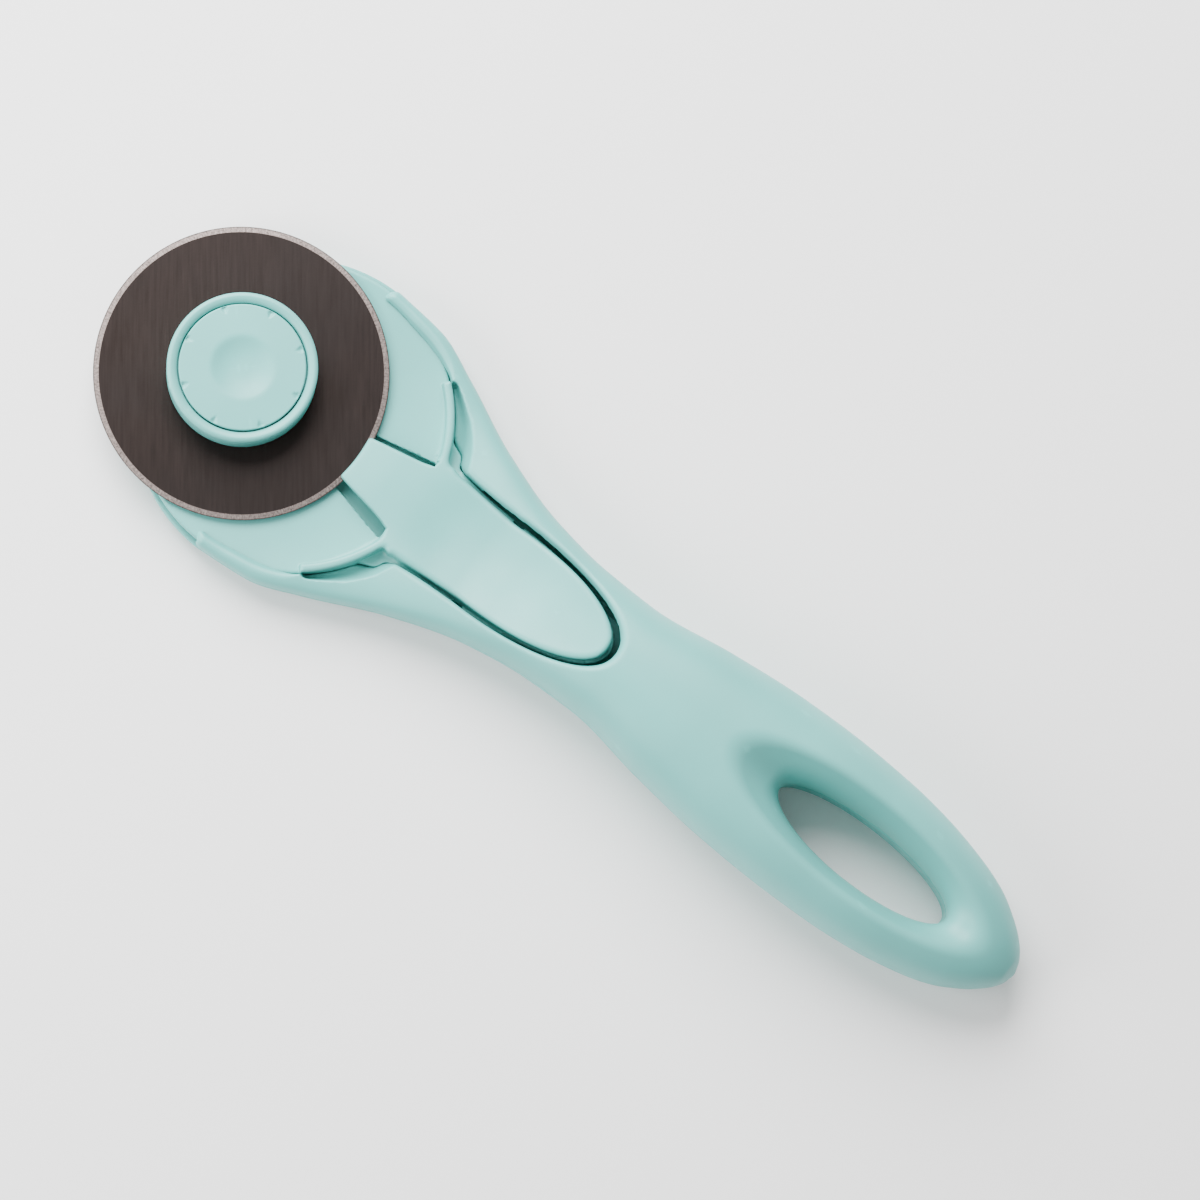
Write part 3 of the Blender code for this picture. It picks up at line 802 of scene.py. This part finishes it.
def knob_profile():
    """The knob body's section: outer wall, rounded top, recess for the cap, bore, and room for the washer."""
    outer = [(KNOB_R - 0.3, KNOB_LOW), (KNOB_R - 0.1, KNOB_LOW + 0.1), (KNOB_R, KNOB_LOW + 0.35)]
    top = arc_points((KNOB_R - KNOB_FILLET, KNOB_TOP - KNOB_FILLET), KNOB_FILLET, 0, 100, 9)
    inner = [(RECESS_R + 0.55, KNOB_TOP - 0.12), (RECESS_R + 0.28, KNOB_TOP - 0.26)]
    inner += [(RECESS_R + 0.08, KNOB_TOP - 0.5), (RECESS_R, KNOB_TOP - 0.8)]
    recess = [(RECESS_R, RECESS_LOW), (KNOB_BORE_R, RECESS_LOW), (KNOB_BORE_R, KNOB_SKIRT_TOP)]
    skirt = [(KNOB_SKIRT_R, KNOB_SKIRT_TOP), (KNOB_SKIRT_R, KNOB_LOW)]
    return outer + top + inner + recess + skirt


def knob_nib(r, angle, z):
    """A moulding nib on the knob's rim."""
    off = (angle - NIB_TURN + math.pi) % (2 * math.pi) - math.pi
    near = np.exp(-((off * KNOB_R / NIB_W) ** 2)) * (r > KNOB_R - 0.4) * (z > 9)
    return r + NIB_OUT * near, z


turned("knob_body_fine", knob_profile(), 192, "knob", ["knob_body"], guard_mint, knob_nib)


def cap_profile():
    """The cap's section before it is shaped: flat above, with closer rings near the edge, and flat below."""
    radii = [CAP_MIDDLE_R, 0.6, 1.2, 1.8, 2.4, 3.0, 3.5, 3.9, 4.3, 4.6, 4.95, 5.4, 6.2, 7.2, 8.0, 8.3]
    radii += list(np.arange(8.4, CAP_R - 0.22, 0.075))
    top = [(r, CAP_TOP) for r in radii]
    edge = arc_points((CAP_R - CAP_FILLET, CAP_TOP - CAP_FILLET), CAP_FILLET, 80, 0, 4)
    return top + edge + [(CAP_R, CAP_LOW), (CAP_MIDDLE_R, CAP_LOW)]


def cap_shape(r, angle, z):
    """The cap's top: a soft crown, a shallow bowl and wedge-shaped notches near the edge."""
    on_top = z > CAP_TOP - CAP_FILLET
    crown = CAP_CROWN * (1 - (r / CAP_R) ** 2)
    bowl = BOWL_DEPTH * (1 - np.clip(r / BOWL_R, 0, 1) ** 3) ** 1.5
    step = 2 * math.pi / NOTCHES
    off = (angle - NOTCH_TURN + step / 2) % step - step / 2
    across = np.abs(off) * r
    along = np.clip((r - NOTCH_START_R) / NOTCH_LENGTH, 0, 1)
    wedge = np.clip(1 - across / (0.10 + 0.42 * along), 0, 1) ** 0.8
    notch = NOTCH_DEPTH * along * wedge * (r < CAP_R - 0.1)
    return r, np.where(on_top, z + crown - bowl - notch, z)


turned(
    "knob_cap_fine", cap_profile(), 360, "knob", ["knob_cap"], guard_mint,
    cap_shape, sharp=60,
)

METAL_PIECES = {
    "pivot_bolt": zinc_steel,
    "wave_washer": spring_steel,
    "keyed_washer": zinc_steel,
    "knob_nut": brass,
    "detent_spring": spring_steel,
    "head_screw_left": zinc_steel,
    "head_screw_right": zinc_steel,
    "grip_screw_front": zinc_steel,
    "grip_screw_rear": zinc_steel,
}
for node, skin in METAL_PIECES.items():
    obj = frame["nodes"][node]
    obj.data.materials.clear()
    obj.data.materials.append(skin)
    obj.data.shade_smooth()
    obj.data.set_sharp_from_angle(angle=math.radians(35))

# ---------------------------------------------------------------- floor, light and camera

# The handle runs down to the right in the picture, PICTURE_TURN below level, and the camera leans towards the
# handle's -Y side. VIEW_WIDTH is how much the picture shows at the point that the camera aims at, in metres.
PICTURE_TURN = math.radians(38.0)
LEAN = math.radians(7.4)
AIM = Vector((HUB_X + 64.1, 6.4, 6.0)) * MM
CAMERA_AWAY = 0.9
VIEW_WIDTH = 0.1824
SENSOR_WIDTH = 36
WORLD_STRENGTH = 0.54
FLOOR_SIZE = 6
FLOOR_Z = -0.0001

picture_back = Vector((0, -math.sin(LEAN), math.cos(LEAN)))
along_handle = Vector((1, 0, 0))
across_handle = picture_back.cross(along_handle)
picture_right = along_handle * math.cos(PICTURE_TURN) + across_handle * math.sin(PICTURE_TURN)
picture_up = picture_back.cross(picture_right)


def add_floor():
    bpy.ops.mesh.primitive_plane_add(size=FLOOR_SIZE, location=(0, 0, FLOOR_Z))
    floor = bpy.context.object
    floor.name = "floor"
    made = Nodes("floor_white", (0.92, 0.92, 0.92), 0.65)
    floor.data.materials.append(made.material)


def area_light(name, right, up, back, size, power):
    """A soft light aimed at AIM and placed by the picture's directions, in metres from it."""
    data = bpy.data.lights.new(name, "AREA")
    data.shape = "DISK"
    data.size = size
    data.energy = power
    lamp = bpy.data.objects.new(name, data)
    offset = picture_right * right + picture_up * up + picture_back * back
    lamp.location = AIM + offset
    lamp.rotation_mode = "QUATERNION"
    lamp.rotation_quaternion = (-offset).to_track_quat("-Z", "Y")
    bpy.context.scene.collection.objects.link(lamp)


def add_world(strength):
    made = bpy.data.worlds.new("studio")
    made.use_nodes = True
    background = made.node_tree.nodes["Background"]
    background.inputs["Color"].default_value = (1, 1, 1, 1)
    background.inputs["Strength"].default_value = strength
    bpy.context.scene.world = made


def add_camera():
    data = bpy.data.cameras.new("camera")
    data.sensor_width = SENSOR_WIDTH
    data.lens = SENSOR_WIDTH * CAMERA_AWAY / VIEW_WIDTH
    data.clip_start = 0.01
    data.clip_end = 20
    made = bpy.data.objects.new("camera", data)
    axes = Matrix((picture_right, picture_up, picture_back)).transposed().to_4x4()
    made.matrix_world = Matrix.Translation(AIM + picture_back * CAMERA_AWAY) @ axes
    bpy.context.scene.collection.objects.link(made)
    bpy.context.scene.camera = made


add_floor()
add_world(WORLD_STRENGTH)
area_light("key", right=-0.12, up=0.48, back=0.38, size=0.6, power=14)
area_light("fill", right=-0.5, up=-0.02, back=0.36, size=0.45, power=5)
add_camera()
